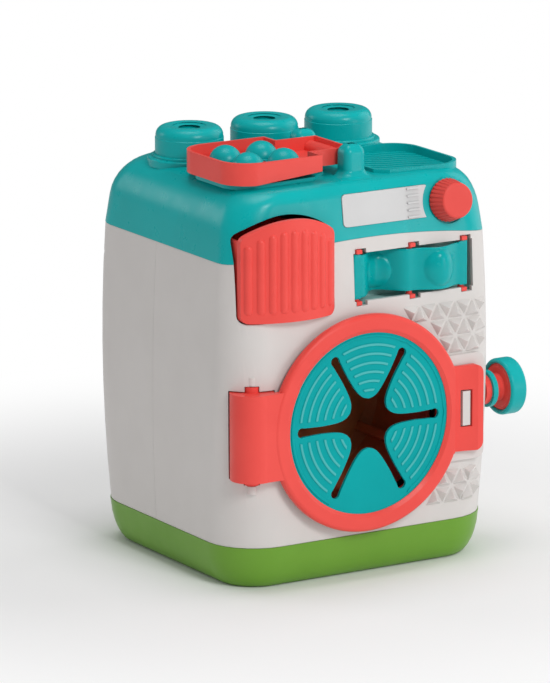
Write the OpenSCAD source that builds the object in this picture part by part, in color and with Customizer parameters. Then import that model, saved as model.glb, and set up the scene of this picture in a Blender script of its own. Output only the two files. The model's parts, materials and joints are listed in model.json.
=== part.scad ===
// Toy washing machine with a cranked drum, a swinging door, a soap drawer and a flip tray.
// Millimetres. Origin on the resting face under the middle of the casing, +Z up, front faces -Y.

/* [Casing] */
// Half width of the casing at its top edge
case_hw = 86.5; // [80:0.5:95]
// Half depth of the casing at its top edge
case_hd = 80; // [76:0.5:88]
// How far the walls swell outwards near mid height
case_bulge = 3; // [1:0.5:4]
// Corner radius at the top edge of the casing
corner_top = 20; // [17:1:24]
// Corner radius at the bottom edge of the casing
corner_low = 30; // [26:1:34]
// Wall thickness of casing and cover
wall = 2.5; // [2:0.1:3]
// Height of the green base
base_h = 25; // [20:1:30]
// Height of the flat top of the cover
top_h = 227; // [204:1:240]
// Height of the cover, from its flat top down to the seam in the middle of the front
cover_h = 31; // [30:0.5:34]
// Y of the seam between front and rear casing
split_y = 7; // [6:0.5:12]

/* [Door] */
// X of the door and drum centre
door_x = -4.5; // [-6:0.5:-3]
// Height of the door's lower edge above the green base
door_up = 3.2; // [2:0.2:6]
// Width of the face of the door ring
ring_w = 10.5; // [9.5:0.1:11.5]
// Thickness of the door ring
ring_t = 5; // [4:0.5:7]
// Radius of the hinge barrel
barrel_r = 12.4; // [11:0.2:13]
// Height of the hinge barrel and of the latch
leaf_h = 50; // [44:1:54]
// Thickness of the star-cut membrane
membrane_t = 1.8; // [1.4:0.2:2.4]
// Distance from the end of a star arm to the edge of the ring
star_edge = 5.4; // [5:0.2:8]

/* [Drum and crank] */
// Distance from the inside of the door ring in to the drum
drum_in = 3.8; // [3.5:0.1:6]
// Module of the gear teeth
gear_m = 2; // [1.8:0.1:2]
// Teeth on the crown gear
crown_teeth = 35; // [33:1:35]
// Teeth on the crank pinion
pinion_teeth = 10; // [9:1:10]
// Distance from the crank shaft to the grip
crank_arm_l = 52; // [44:1:54]
// Radius of the grip ring
grip_r = 16.5; // [15:0.5:18]
// Width of the grip ring
grip_w = 10.5; // [9:0.5:12]

/* [Drawer] */
// Width of the drawer
drawer_w = 58.15; // [54:0.05:60]
// Distance from the side of the casing to the drawer
drawer_side = 4.75; // [4.5:0.25:7]
// Height of the drawer front at its sides
drawer_side_h = 48; // [44:0.5:50]
// Rise of the arched top of the drawer front
drawer_arch = 10; // [7:0.5:11]
// Vertical ribs on the drawer front
drawer_ribs = 9; // [5:2:9]

/* [Window] */
// Left edge of the band window
win_x0 = -9.5; // [-11:0.5:-8]
// Height of the band window
win_h = 27.4; // [25:0.2:28]
// Depth of the recess behind the window
win_depth = 20; // [18:1:24]

/* [Flip tray] */
// X of the tray hinge
flap_x = 3; // [2:0.5:5]
// Y of the tray's middle
flap_y = -31.5; // [-33:0.5:-30]
// Height of the tray hinge above the flat top
flap_rise = 8.75; // [8.6:0.05:9.4]
// Distance from the side of the casing to the tray's far end
flap_side = 9.5; // [8:0.5:14]
// Half width of the tray
flap_hw = 32.5; // [30:0.5:33]
// Half width of the tray's neck
neck_hw = 19.2; // [17:0.2:20]
// Height of the tray wall
flap_wall_h = 12.7; // [12:0.1:13]
// Radius of one popping dome
dome_r = 8.5; // [7.5:0.1:9]
// Travel of a dome when it is pressed
dome_travel = 3.5; // [2:0.5:3.5]

/* [Studs] */
// Distance between studs
stud_pitch = 50; // [49:0.5:52]
// Radius of a stud
stud_r = 19.7; // [18:0.1:20.5]
// Height of a stud above the flat top
stud_h = 19.7; // [17:0.1:22]
// Distance from the rear of the casing to the row of studs
stud_rear = 48.4; // [44:0.2:49]

/* [Dial] */
// Distance from the side of the casing to the dial
dial_side = 31; // [30:0.5:34]
// Radius of the dial at its foot
dial_r = 12.4; // [11:0.1:13]
// Height of the dial
dial_h = 11.5; // [9:0.5:13]
// Grooves round the dial
dial_grooves = 30; // [20:2:36]

/* [Hidden] */

teal = [0, 0.62, 0.62];
coral = [0.92, 0.33, 0.31];
white = [0.9, 0.89, 0.87];
green = [0.46, 0.7, 0.22];
steel = [0.7, 0.71, 0.73];
natural = [0.93, 0.92, 0.86];

slice = 0.01;
big = 400;
seam_gap = 0.15;
run_gap = 0.05;
fit_gap = 0.02;
part_gap = 0.3;
corner_n = 7;

// casing curves
seam_h = top_h - cover_h;
seam_r = 500;
seam_x = 5;
seam_low = seam_h - 10;
bulge_mid = seam_low / 2 + 2;
bulge_half = seam_low - bulge_mid;
body_levels = concat([for (i = [0:7]) base_h + (seam_low - base_h) * i / 7], [seam_h + 7]);

// places that follow the casing
drawer_z = seam_h - 40.6;
ring_r = min(case_hw - 23.7, (drawer_z - 1.6 - base_h - door_up) / 2);
ring_in_r = ring_r - ring_w;
door_z = base_h + door_up + ring_r;
hinge_x = -case_hw + 11.5;
star_arm = ring_in_r - star_edge;
drum_r = ring_in_r - drum_in;
drum_depth = case_hd - 21;
drawer_x = -case_hw + drawer_side + drawer_w / 2;
drawer_depth = case_hd - 10;
win_x1 = case_hw - 16.5;
win_z1 = seam_h - 8.6;
win_z0 = win_z1 - win_h;
flap_l = case_hw + flap_x - flap_side;
stud_y = case_hd - stud_rear;
dial_x = case_hw - dial_side;
dial_z = top_h - 16.5;

function bulge_at(z) = case_bulge * (1 - pow((z - bulge_mid) / bulge_half, 2));
function corner_at(z) = corner_low - (corner_low - corner_top) * (z - base_h) / (seam_low - base_h);
function hw_at(z) = case_hw + bulge_at(z);
function hd_at(z) = case_hd + bulge_at(z);
function seam_at(x) = seam_h - seam_r + sqrt(seam_r * seam_r - pow(x - seam_x, 2));
// depth of the front face at a place, round corner included
function front_y(x, z) =
  let (r = corner_at(z), over = max(0, abs(x) - (hw_at(z) - r)))
  -(hd_at(z) - r) - sqrt(max(0, r * r - over * over));

// door stack, from the casing outwards
pad_y = -case_hd - case_bulge - 2;
ring_back_y = pad_y - part_gap;
ring_front_y = ring_back_y - ring_t;
hinge_y = ring_front_y + barrel_r;
pocket_r = barrel_r + 0.7;
hinge_pin_r = 1.5;
collar_r = 4;
collar_h = 3.3;
pocket_hz = leaf_h / 2 + collar_h + part_gap;
hinge_end = 5;
seat_r = ring_in_r + 3.6;
rebate_y = ring_front_y + 1.9;
membrane_y = rebate_y + fit_gap;
clamp_y = membrane_y + membrane_t + fit_gap;
clamp_in_r = ring_in_r - 3.6;
hole_r = ring_in_r - 0.8;
latch_chord_x = door_x + ring_r - 5.8;
latch_x1 = door_x + ring_r + 13.4;
slot_x0 = door_x + ring_r - 0.3;
slot_x1 = slot_x0 + 7;
slot_hz = 10.8;
scoop_r = 41;
scoop_y = ring_front_y + 3.4;
catch_y = ring_front_y + 2.2;

// drum and gears
drum_front_y = -case_hd + 3.4;
drum_back_y = drum_front_y + drum_depth;
drum_wall = 2;
crown_r = gear_m * crown_teeth / 2;
pinion_r = gear_m * pinion_teeth / 2;
tooth_up = 0.9 * gear_m;
tooth_down = 1.15 * gear_m;
face_w = 6;
crown_plate_t = 3;
crown_pitch_y = drum_back_y + crown_plate_t + tooth_down;
shaft_y = crown_pitch_y + pinion_r;
shaft_r = 4;
pinion_x = door_x + crown_r;
bracket_t = 5;
bracket_y = crown_pitch_y + tooth_up + 1.3;
axle_r = 3;
bush_r = 5.5;
side_x = hw_at(door_z);
arm_x0 = side_x + 2.3;
arm_t = 3.8;
washer_x0 = arm_x0 + arm_t + part_gap;
washer_t = 3.3;
neck_x0 = washer_x0 + washer_t + part_gap;
neck_l = 5;
knob_x0 = neck_x0 + neck_l;
grip_y = shaft_y - crank_arm_l;
grip_pin_r = 3;
core_r = grip_r - 2.9;

// cover curves
function side_inset(z) = 0.12 * max(0, z - seam_h + 8)
  + 16 * (1 - sqrt(1 - pow(min(1, max(0, (z - top_h + 23) / 23)), 2)));
function front_inset(z) = face_slope * max(0, z - seam_h + 6)
  + 7 * (1 - sqrt(1 - pow(min(1, max(0, (z - top_h + 8) / 8)), 2)));
face_slope = 0.14;
face_tilt = atan(face_slope);
cover_levels = concat([for (z = [18, 8, 0]) seam_h - z],
  [for (z = [23, 19, 15, 11, 8, 6, 4, 2.2, 1, 0]) top_h - z]);

// drawer
drawer_hw = drawer_w / 2;
drawer_mid_y = -case_hd - 8.2;
drawer_bow = 4.2;
drawer_front_r = 57.2;
drawer_plate = 3;
drawer_fillet = 6;
drawer_low_r = 4;
drawer_arch_r = (pow(drawer_hw, 2) + pow(drawer_arch, 2)) / (2 * drawer_arch);
drawer_gap = 0.8;
drawer_wall = 2;
drawer_open_y = -case_hd + 16;
rib_pitch = 6.4;
rib_r = 3.2;
rib_up = 1.1;

// window and band
band_z0 = win_z0 + 1.8;
band_z1 = win_z1 - 1.2;
band_t = 1.6;
pin_r = 1.7;
lug_w = 3.4;
lug_h = 2.2;
notch_w = 7.4;
notch_h = 2.5;
band_in = 13;
band_out = 5.5;
pin_back = 2;
band_pin_x = [win_x0 + 3.2, (win_x0 + win_x1) / 2 - 1.2, win_x1 - notch_w + 1.2];
band_y = front_y(0, win_z0) + 2;

// flip tray
flap_z = top_h + flap_rise;
flap_rim_z = flap_z + 6.25;
flap_low_z = flap_rim_z - flap_wall_h;
flap_wall_t = 1.6;
tray_pad_h = flap_low_z - part_gap - top_h;
post_w = 11.6;
post_t = 11;
post_top = 18.5;
post_gap = 0.4;
shoulder_x = flap_x - 23;
neck_x = flap_x - (post_top - flap_rise) - 0.8;
neck_end_x = flap_x + 4.2;
tray_left_x = flap_x - flap_l;
flap_floor_z = flap_rim_z - 8.9;
flap_floor_t = 1.6;
flap_pin_r = 2.2;
dome_px = 23.5;
dome_py = 24.4;
dome_cx = (tray_left_x + shoulder_x) / 2 + 3.8;
dome_centre_z = flap_floor_z + flap_floor_t + 0.4;
dome_low_z = flap_floor_z - 0.3;
dome_gap = 0.3;
dome_rim_r = dome_r + 1.7;
pocket_floor = top_h - 2.6;
landing_rim_h = 2.1;
landing_short = 9.5;

function arc(cx, cy, r, a0, a1, n) =
  [for (i = [0:n]) let (a = a0 + (a1 - a0) * i / n) [cx + r * cos(a), cy + r * sin(a)]];
function rounded(x0, x1, y0, y1, r, n = corner_n) = concat(
  arc(x1 - r, y1 - r, r, 0, 90, n), arc(x0 + r, y1 - r, r, 90, 180, n),
  arc(x0 + r, y0 + r, r, 180, 270, n), arc(x1 - r, y0 + r, r, 270, 360, n));

// turns a shape drawn upright on the XY plane so that its height runs towards the front
module to_front(y) translate([0, y, 0]) rotate([90, 0, 0]) children();
// turns a shape's height towards +X
module to_right(x, y, z) translate([x, y, z]) rotate([0, 90, 0]) children();

module level(z, x0, x1, y0, y1, r)
  translate([0, 0, z]) linear_extrude(slice) polygon(rounded(x0, x1, y0, y1, r));

// solid of the casing, drawn in by t on every side
module casing_loft(t)
  hull() for (z = body_levels)
    let (w = hw_at(z) - t, d = hd_at(z) - t) level(z, -w, w, -d, d, corner_at(z) - t);

module seam_cylinder(r)
  translate([seam_x, big / 2, seam_h - seam_r]) rotate([90, 0, 0]) cylinder(r = r, h = big, $fn = 360);

// solid of the cover, drawn in by t on every side and at the top
module cover_loft(t)
  hull() for (z = cover_levels)
    let (s = side_inset(z) + t, f = front_inset(z) + t)
      level(z - (z > seam_h + 4 ? t : z < seam_h - 16 ? 2 * t : 0), -case_hw + s, case_hw - s, -case_hd + f, case_hd - s,
        max(6, corner_top - t));

// outline of the drawer front as seen from the front, grown by g
module drawer_outline(g) {
  zc = drawer_side_h + drawer_arch - drawer_arch_r;
  fx = drawer_hw - drawer_fillet;
  fz = zc + sqrt(pow(drawer_arch_r - drawer_fillet, 2) - fx * fx);
  a = atan2(fz - zc, fx);
  da = (90 - a) / 12;
  low = drawer_hw - drawer_low_r;
  translate([drawer_x, drawer_z]) polygon(concat(
    arc(fx, fz, drawer_fillet + g, 0, a, 6),
    arc(0, zc, drawer_arch_r + g, a + da, 180 - a - da, 22),
    arc(-fx, fz, drawer_fillet + g, 180 - a, 180, 6),
    arc(-low, drawer_low_r, drawer_low_r + g, 180, 270, 5),
    arc(low, drawer_low_r, drawer_low_r + g, 270, 360, 5)));
}

module drawer_opening() to_front(drawer_open_y) linear_extrude(80) drawer_outline(drawer_gap);

module window_outline() {
  translate([win_x0, win_z0]) square([win_x1 - win_x0, win_z1 - win_z0]);
  for (x = band_pin_x)
    translate([x - lug_w / 2 - 0.4, win_z0 - notch_h])
      square([notch_w, win_z1 - win_z0 + 2 * notch_h]);
}

// ---- casing ----

module base_tray() color(green) {
  levels = [0, 0.6, 2, 4.5, 8, 12, 17, base_h];
  difference() {
    hull() for (z = levels)
      let (t = (base_h - z) / base_h, in = 10 * (1 - sqrt(1 - min(1, t * t))) + 1.6 * t - 0.5,
           w = hw_at(base_h) - in, d = hd_at(base_h) - in)
        level(z == base_h ? z - slice : z, -w, w, -d, d, corner_low - in);
    hull() for (z = [3, 9, base_h + 1])
      let (in = z < 5 ? 13 : z < 10 ? 6.5 : 2.4, w = hw_at(base_h) - in, d = hd_at(base_h) - in)
        level(z, -w, w, -d, d, corner_low - in);
    for (x = foot_x) for (y = foot_y)
      translate([x, y, -1]) cylinder(r = 1.7, h = 10, $fn = 32);
    for (x = foot_x) for (y = foot_y)
      translate([x, y, -1]) cylinder(r = 3.4, h = 2.2, $fn = 32);
  }
  // inner lip that locates the casing
  difference() {
    lip(wall + 0.25, 6);
    lip(wall + 2.05, 7);
  }
}
module lip(t, h)
  let (w = hw_at(base_h) - t, d = hd_at(base_h) - t)
    translate([0, 0, base_h - 5]) linear_extrude(h + 3)
      polygon(rounded(-w, w, -d, d, corner_low - t));

// casing screws run front to back beside the side walls
boss_r = 4.6;
boss_x = case_hw - wall - 1.6;
boss_z = [base_h + 19, seam_low - 16];
screw_r = 1.5;
screw_head_r = 3;
screw_seat_y = split_y + 16;
screw_tip_y = split_y - 12;
foot_x = [door_x - 20, door_x + 12];
foot_y = [bracket_y + bracket_t + 6];

module side_bosses(y0, y1)
  for (s = [-1, 1]) for (z = boss_z)
    translate([s * boss_x, y1, z]) rotate([90, 0, 0]) cylinder(r = boss_r, h = y1 - y0, $fn = 48);

module casing_shell()
  difference() {
    intersection() {
      casing_loft(0);
      seam_cylinder(seam_r - seam_gap);
      translate([-big / 2, -big / 2, base_h + seam_gap]) cube(big);
    }
    casing_loft(wall);
  }

module front_shell() color(white) {
  difference() {
    union() {
      intersection() {
        casing_shell();
        translate([-big / 2, split_y - big, 0]) cube([big, big, big]);
      }
      // round pad and collar that the door closes on
      translate([door_x, 0, door_z]) to_front(-case_hd + 1.5)
        cylinder(r1 = hole_r + 5, r2 = hole_r + 3, h = -pad_y - case_hd + 1.5, $fn = 180);
      // raised pad behind the latch
      to_front(-case_hd + 1)
        linear_extrude(-pad_y - case_hd + 0.6)
          polygon(rounded(latch_chord_x - 12, latch_x1 + 3.8, door_z - leaf_h / 2 - 6, door_z + leaf_h / 2 + 6, 5));
      // catch that the latch slot snaps over
      translate([slot_x0 + 1, catch_y, door_z - slot_hz + 0.8])
        cube([slot_x1 - slot_x0 - 2, pad_y - catch_y + 1, 2 * slot_hz - 1.6]);
      intersection() {
        side_bosses(screw_tip_y - 3, split_y);
        casing_loft(1);
      }
      // boss round the crank bush
      to_right(side_x - 7, shaft_y, door_z) cylinder(r = bush_out_r + 2.4, h = 6, $fn = 64);
      // body of the hinge pocket
      intersection() {
        translate([hinge_x, hinge_y, door_z - pocket_hz - hinge_end])
          cylinder(r = pocket_r + 2, h = 2 * pocket_hz + 2 * hinge_end, $fn = 90);
        casing_loft(0.4);
      }
      // small bosses round the ends of the hinge pin
      for (z = [door_z - pocket_hz - hinge_end, door_z + pocket_hz + 0.4])
        translate([hinge_x, hinge_y, z]) cylinder(r = 2.9, h = hinge_end - 0.4, $fn = 32);
      pyramid_field();
    }
    translate([door_x, 0, door_z]) to_front(-case_hd + 12) cylinder(r = hole_r, h = 40, $fn = 180);
    drawer_opening();
    to_front(-case_hd + 12) linear_extrude(40) window_outline();
    // pocket for the hinge barrel
    translate([hinge_x, hinge_y, door_z - leaf_h / 2 - 0.6]) cylinder(r = pocket_r, h = leaf_h + 1.2, $fn = 90);
    translate([hinge_x, hinge_y, door_z - pocket_hz]) cylinder(r = collar_r + 0.6, h = 2 * pocket_hz, $fn = 64);
    translate([hinge_x, hinge_y, door_z - pocket_hz - 4])
      cylinder(r = hinge_pin_r + fit_gap, h = 2 * pocket_hz + 8, $fn = 32);
    to_right(side_x - 12, shaft_y, door_z) cylinder(r = bush_out_r + fit_gap, h = 30, $fn = 64);
    for (s = [-1, 1]) for (z = boss_z)
      translate([s * boss_x, split_y + 1, z]) rotate([90, 0, 0])
        cylinder(r = screw_r + fit_gap, h = split_y - screw_tip_y + 2, $fn = 32);
  }
}
bush_out_r = 6.5;

// field of raised three-sided pyramids, right of the door
pyr_a = 11.85;
pyr_h = pyr_a * sqrt(3) / 2;
pyr_up = 3.5;
pyr_gap = 0.5;
pyr_x = 15.9;
pyr_top = drawer_z - 2;
pyr_low_x = 19.9;
pyr_low = door_z - leaf_h / 2 - 10.4;
module pyramid_field() {
  pyramid_rows(pyr_x, pyr_top, 3);
  pyramid_rows(pyr_low_x, pyr_low, 2);
}
module pyramid_rows(x0, z0, rows)
  for (row = [0:rows - 1]) for (i = [0:10])
    pyramid_at(x0 + i * pyr_a / 2, z0 - row * pyr_h, (i + row) % 2 == 1);
// x of the middle, z of the row's top, and whether the triangle points up
module pyramid_at(x, z, up) {
  cz = z - pyr_h * (up ? 2 / 3 : 1 / 3);
  r = corner_at(cz);
  turn = asin(max(0, x - (hw_at(cz) - r)) / r);
  if (norm([x - door_x, cz - door_z]) > ring_r + 4 && x < case_hw - 11 && z - pyr_h > base_h + 2
      && abs(cz - door_z) > leaf_h / 2 + 0.7 * pyr_h + 1)
    translate([x, front_y(x, cz), cz]) rotate(turn) translate([0, 1.4, 0]) rotate([90, 0, 0])
      rotate(up ? 90 : -90) cylinder(r1 = (pyr_a - pyr_gap) / sqrt(3), r2 = 0, h = pyr_up + 1.4, $fn = 3);
}

module rear_shell() color(white)
  difference() {
    union() {
      intersection() {
        casing_shell();
        translate([-big / 2, split_y + seam_gap, 0]) cube([big, big, big]);
      }
      intersection() {
        side_bosses(split_y + seam_gap, case_hd);
        casing_loft(1);
      }
    }
    for (s = [-1, 1]) for (z = boss_z)
      translate([s * boss_x, screw_seat_y, z]) rotate([-90, 0, 0]) cylinder(r = screw_head_r + 0.3, h = 100, $fn = 32);
    for (s = [-1, 1]) for (z = boss_z)
      translate([s * boss_x, 0, z]) rotate([-90, 0, 0]) cylinder(r = screw_r + 0.2, h = 60, $fn = 32);
  }

module case_screws() color(steel)
  for (s = [-1, 1]) for (z = boss_z)
    translate([s * boss_x, screw_tip_y, z]) rotate([-90, 0, 0]) {
      cylinder(r = screw_r, h = screw_seat_y - screw_tip_y, $fn = 32);
      difference() {
        translate([0, 0, screw_seat_y - screw_tip_y]) cylinder(r = screw_head_r, h = 2.2, $fn = 32);
        translate([-2, -0.4, screw_seat_y - screw_tip_y + 1.2]) cube([4, 0.8, 2]);
        translate([-0.4, -2, screw_seat_y - screw_tip_y + 1.2]) cube([0.8, 4, 2]);
      }
    }

// ---- cover ----

// outline of the flip tray seen from above, lying to the left of its hinge
module tray_outline(g, short = 0) {
  r = 17;
  y0 = -flap_hw - g;
  y1 = flap_hw + g;
  x0 = tray_left_x - flap_x - g + short;
  xs = shoulder_x - flap_x;
  xn = neck_x - flap_x;
  polygon(concat(
    arc(x0 + r, y0 + r, r, 180, 266, 8),
    [[xs + g / 2, y0 + 2.4], [xn + g / 2, -neck_hw - g], [neck_end_x - flap_x + g, -neck_hw - g],
     [neck_end_x - flap_x + g, neck_hw + g], [xn + g / 2, neck_hw + g], [xs + g / 2, y1 - 2.4]],
    arc(x0 + r, y1 - r, r, 94, 180, 8)));
}

// outline of the landing place on the right, which takes the tray's far part
module landing_outline(g)
  intersection() {
    mirror([1, 0]) tray_outline(g, landing_short);
    translate([17 - g, -100]) square([200, 200]);
  }

module stud_form() {
  foot = 3.4;
  roll = 5.6;
  dimple = 6.5;
  rotate_extrude($fn = 96) {
    polygon(concat(
      [[0, -wall], [stud_r + 4.4, -wall]],
      arc(stud_r + 3.4, 1.2, 1, 0, 90, 4),
      [[stud_r + 1.6, 2.2]],
      arc(stud_r + 0.8, foot - 0.4, 0.8, 0, 90, 3),
      [[stud_r, foot + 0.4], [stud_r, stud_h * 0.66], [stud_r - 0.35, stud_h * 0.66 + 0.3]],
      arc(stud_r - 0.3 - roll, stud_h - roll, roll, 8, 90, 7),
      [[7.5, stud_h - 0.5], [5.2, stud_h - 2], [3.4, stud_h - dimple], [0, stud_h - dimple]]));
  }
}

module post(y0) {
  translate([flap_x, y0 + post_t, top_h - 1]) rotate([90, 0, 0]) {
    translate([-post_w / 2, 0, 0]) cube([post_w, post_top + 1 - post_w / 2, post_t]);
    translate([0, post_top + 1 - post_w / 2, 0]) cylinder(r = post_w / 2, h = post_t, $fn = 64);
  }
  translate([flap_x - post_w / 2 - 2, y0 - 1.5, top_h - 1]) cube([post_w + 4, post_t + 3, 2.2]);
}
post_rear_y = flap_y + neck_hw + post_gap;
post_front_y = flap_y - neck_hw - post_gap - post_t;

module top_cover() color(teal) {
  difference() {
    union() {
      difference() {
        cover_loft(0);
        seam_cylinder(seam_r);
      }
      for (i = [-1:1]) translate([i * stud_pitch, stud_y, top_h]) stud_form();
      post(post_rear_y);
      post(post_front_y);
      // pad under the tray
      translate([flap_x, flap_y, top_h - 1]) intersection() {
        linear_extrude(tray_pad_h + 1) tray_outline(-3.4);
        translate([-200, -100, 0]) cube([200 - 12, 200, 50]);
      }
      // raised edge of the landing place
      translate([flap_x, flap_y, top_h - 11]) linear_extrude(11 + landing_rim_h) landing_outline(2.2);
    }
    difference() {
      cover_loft(wall);
      for (i = [-1:1]) translate([i * stud_pitch, stud_y, top_h - 30]) cylinder(r = 3, h = 60, $fn = 32);
      // seat block behind the dial
      face_place(dial_x, dial_z) translate([0, 0, -dial_seat_t]) cylinder(r = dial_r + 2.5, h = 10, $fn = 64);
      landing_floor();
    }
    translate([flap_x, flap_y, pocket_floor]) linear_extrude(20) landing_outline(0.6);
    drawer_opening();
    // hinge pin of the tray, blind at both ends
    translate([flap_x, post_front_y + 3, flap_z]) rotate([-90, 0, 0])
      cylinder(r = flap_pin_r + run_gap, h = post_rear_y + post_t - 3 - post_front_y - 3, $fn = 48);
    face_place(plate_cx, plate_cz) linear_extrude(10) plate_outline(0.15);
    face_place(dial_x, dial_z) cylinder(r = dial_r + 1, h = 10, $fn = 96);
    face_place(dial_x, dial_z) translate([0, 0, -30]) cylinder(r = dial_shaft_r + run_gap, h = 40, $fn = 48);
  }
  cover_skirt();
  // wavy ribs in the landing place
  intersection() {
    translate([flap_x, flap_y, pocket_floor - 0.5]) linear_extrude(1.6) landing_outline(-2);
    translate([flap_x + 46, flap_y, pocket_floor - 0.5]) rotate(-24)
      for (i = [-7:7]) translate([0, i * 5.4, 0]) linear_extrude(1.6) wave_strip(1.3);
  }
}
wave_a = 1.5;
function wave_y(x) = wave_a * sin(x * 11);
module wave_strip(w)
  polygon(concat([for (x = [-48:4:48]) [x, wave_y(x) + w]], [for (x = [48:-4:-48]) [x, wave_y(x) - w]]));
module landing_floor()
  translate([flap_x, flap_y, pocket_floor - 2.2]) linear_extrude(2.2) landing_outline(2.6);

// skirt inside the casing walls, behind the drawer and window
module cover_skirt()
  difference() {
    translate([0, 0, seam_h - 13]) linear_extrude(18)
      polygon(rounded(-case_hw + wall + 1, case_hw - wall - 1, -case_hd + wall + 1, case_hd - wall - 1, corner_top - wall));
    translate([0, 0, seam_h - 14]) linear_extrude(30)
      polygon(rounded(-case_hw + wall + 2.8, case_hw - wall - 2.8, -case_hd + wall + 2.8, case_hd - wall - 2.8, corner_top - wall - 2));
    translate([-big / 2, -big / 2, 100]) cube([big, big / 2 - 40, 200]);
  }

// the sloping front face of the cover
face_y0 = -case_hd + face_slope * (dial_z - seam_h + 6);
module face_place(x, z)
  translate([x, face_y0 + face_slope * (z - dial_z) + 1.4, z]) rotate([90 - face_tilt, 0, 0]) children();

plate_x0 = -15;
plate_x1 = dial_x - 13.5;
plate_cx = dial_x - 41.5;
plate_cz = dial_z + 1.2;
plate_h = 18.4;
dial_clear_r = 17.6;
module plate_outline(g)
  difference() {
    polygon(rounded(plate_x0 - plate_cx - g, plate_x1 - plate_cx + g, -plate_h / 2 - g, plate_h / 2 + g, 2.5, 5));
    translate([dial_x - plate_cx, dial_z - plate_cz]) circle(r = dial_clear_r - g, $fn = 96);
  }

module display_plate() color(white)
  face_place(plate_cx, plate_cz) translate([0, 0, 0.05]) {
    linear_extrude(2) plate_outline(0);
    for (i = [-2:2]) translate([plate_bar_x - plate_cx, i * 3.4 - 0.5, 1]) cube([8, 1, 1.7]);
  }
plate_bar_x = plate_cx + 13.5;

dial_shaft_r = 3;
dial_seat_t = 6;
module dial_knob() color(coral)
  face_place(dial_x, dial_z) translate([0, 0, part_gap]) {
    difference() {
      rotate_extrude($fn = 96) polygon(concat(
        [[0, 0], [dial_r - 0.6, 0], [dial_r, 0.8]],
        arc(dial_r - 3.6, dial_h - 1.4, 1.4, 8, 90, 5),
        [[0, dial_h - 0.2]]));
      for (i = [0:dial_grooves - 1]) rotate(i * 360 / dial_grooves)
        translate([dial_r + 0.25, 0, 0.4]) rotate([0, -atan(2.3 / dial_h), 0])
          translate([0, 0, -2]) cylinder(r = 0.75, h = dial_h * 0.93 + 2, $fn = 16);
    }
    translate([0, 0, -dial_seat_t - 4.3]) cylinder(r = dial_shaft_r, h = dial_seat_t + 5, $fn = 48);
  }

module dial_retainer() color(natural)
  face_place(dial_x, dial_z) translate([0, 0, -dial_seat_t - part_gap - 3])
    difference() {
      cylinder(r = 6, h = 3, $fn = 48);
      translate([0, 0, -1]) cylinder(r = dial_shaft_r + fit_gap, h = 10, $fn = 48);
    }

// ---- drawer ----

drawer_box_h = 46;
box_x0 = drawer_x - drawer_hw + 1;
box_x1 = drawer_x + drawer_hw - 1;
box_back_y = drawer_mid_y + drawer_depth;
// cylinder of the bowed front, drawn in by t
module drawer_face(t)
  translate([drawer_x + drawer_bow, drawer_mid_y + drawer_front_r, drawer_z - 5])
    cylinder(r = drawer_front_r - t, h = 80, $fn = 360);

module drawer() color(coral) {
  difference() {
    union() {
      intersection() {
        to_front(-case_hd + 8) linear_extrude(40) drawer_outline(0);
        drawer_face(0);
      }
      // ribs on the front, each with rounded ends
      for (i = [0:drawer_ribs - 1]) {
        dx = (i - (drawer_ribs - 1) / 2) * rib_pitch;
        turn = asin((dx - drawer_bow) / drawer_front_r);
        in_r = drawer_front_r + rib_up - rib_r;
        low = drawer_z + 7.4;
        top = drawer_z + drawer_side_h + drawer_arch - drawer_arch_r + sqrt(pow(drawer_arch_r, 2) - dx * dx) - 8.4;
        translate([drawer_x + drawer_bow + in_r * sin(turn), drawer_mid_y + drawer_front_r - in_r * cos(turn), low]) {
          cylinder(r = rib_r, h = top - low, $fn = 32);
          translate([0, 0, top - low]) sphere(r = rib_r, $fn = 32);
          sphere(r = rib_r, $fn = 32);
        }
      }
    }
    drawer_face(drawer_plate);
  }
  // open box behind the front
  intersection() {
    difference() {
      translate([box_x0, drawer_mid_y, drawer_z])
        cube([box_x1 - box_x0, drawer_depth, drawer_box_h]);
      translate([box_x0 + drawer_wall, drawer_mid_y - 20, drawer_z + drawer_wall])
        cube([box_x1 - box_x0 - 2 * drawer_wall, drawer_depth + 20 - drawer_wall, drawer_box_h]);
    }
    drawer_face(1);
    to_front(box_back_y + 1) linear_extrude(80) drawer_outline(-0.1);
  }
}

guide_t = 2;
module drawer_guide() color(white) {
  z0 = drawer_z - part_gap - guide_t;
  intersection() {
    translate([box_x0 - 0.4, -case_hd, z0])
      cube([box_x1 - box_x0 + 0.8, box_back_y + 1 + case_hd, guide_t]);
    casing_loft(wall + fit_gap);
  }
  for (x = [box_x0 - 0.4 - guide_t, box_x1 + 0.4])
    translate([x, drawer_open_y, z0]) cube([guide_t, box_back_y + 1 - drawer_open_y, 22]);
  translate([box_x0 - 0.4 - guide_t, box_back_y + 1, z0])
    cube([box_x1 - box_x0 + 0.8 + 2 * guide_t, guide_t, 28]);
}

// ---- window and wave band ----

win_mid_z = (win_z0 + win_z1) / 2;
function hump(x, a, b) = x <= a || x >= b ? 0 : (1 - cos(360 * (x - a) / (b - a))) / 2;
function wave(x) = band_y
  + band_in * hump(x, band_pin_x[0] + 2, band_pin_x[1] - 1) - band_out * hump(x, band_pin_x[1] + 1, band_pin_x[2] - 2);
function wave_side(x, s) =
  let (d = (wave(x + 0.1) - wave(x - 0.1)) / 0.2, k = s * band_t / 2 / sqrt(1 + d * d)) [x - d * k, wave(x) + k];
band_x0 = win_x0 + 0.4;
band_x1 = band_pin_x[2] + 2.6;
band_steps = 48;
function band_at(i) = band_x0 + (band_x1 - band_x0) * i / band_steps;

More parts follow.
